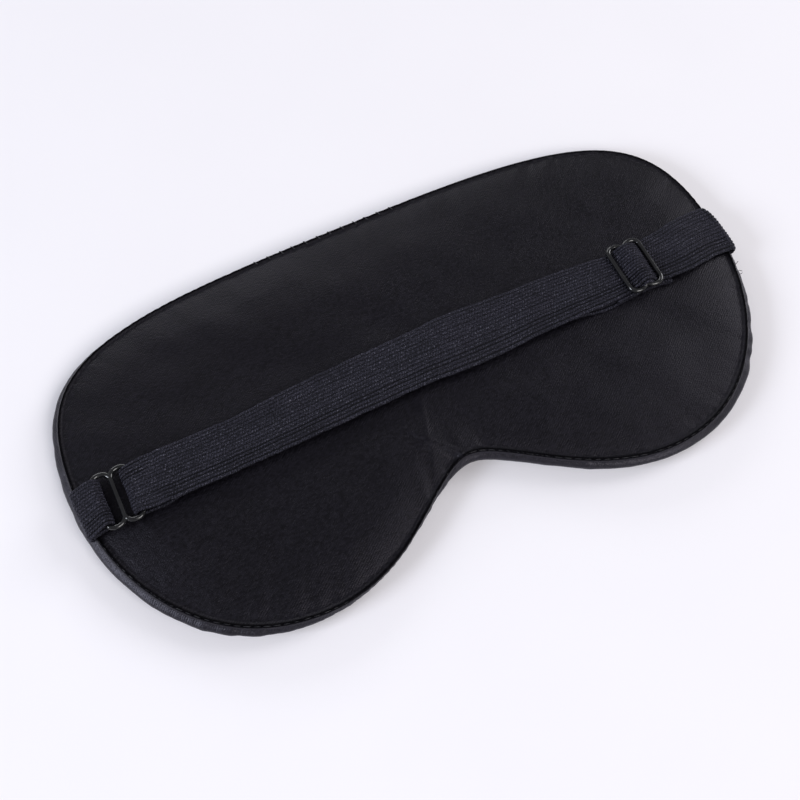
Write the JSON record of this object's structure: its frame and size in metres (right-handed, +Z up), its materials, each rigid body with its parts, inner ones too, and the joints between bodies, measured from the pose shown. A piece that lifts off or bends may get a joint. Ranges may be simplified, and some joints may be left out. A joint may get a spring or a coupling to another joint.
{
  "type": "sleep eye mask",
  "caption": "Padded fabric sleep mask with a nose notch and an elastic head strap that runs through a ring and a slider.",
  "frame": {"origin": "middle of the outer face, on the surface the mask lies on", "axes": "+X along the mask from the ring to the sewn strap end, +Y towards the brow, +Z up out of the face side"},
  "size_m": [0.2053, 0.1064, 0.015],
  "materials": {
    "face_fabric": "satin",
    "outer_fabric": "satin",
    "wadding": "matte",
    "thread": "satin",
    "elastic": "matte",
    "coated_wire": "gloss"
  },
  "bodies": {
    "mask": {"face_panel": "face_fabric", "outer_panel": "outer_fabric", "wadding": "wadding", "seam_thread": "thread", "closing_stitches": "thread", "left_tab": "elastic", "strap_anchor": "elastic"},
    "ring": {"ring": "coated_wire", "strap_ring_fold": "elastic"},
    "strap": {"strap_upper_run": "elastic", "strap_lower_run": "elastic", "strap_upper_travel": "elastic", "strap_lower_travel": "elastic", "strap_tail": "elastic"},
    "slider": {"slider": "coated_wire", "strap_slider_wave": "elastic", "strap_end_loop": "elastic", "end_loop_stitches": "thread"}
  },
  "joints": [
    {"name": "strap_lift", "type": "hinge", "parent": "mask", "child": "strap", "pos_m": [0.10075, 0.0028, 0.0076], "axis": [0, 1, 0], "range_deg": [0, 12], "stiffness_Nm_per_rad": 0.02},
    {"name": "ring_pivot", "type": "hinge", "parent": "mask", "child": "ring", "pos_m": [-0.09417, -0.0017, 0.01019], "axis": [0, -1, 0], "range_deg": [0, 24.2]},
    {"name": "slider_slide", "type": "slide", "parent": "strap", "child": "slider", "axis": [1, 0, 0], "range_m": [-0.1, 0.008], "deforming": ["strap_upper_travel", "strap_lower_travel", "strap_tail"]}
  ],
  "couplings": [
    {"joint": "ring_pivot", "follows": "strap_lift", "ratio": 2}
  ]
}
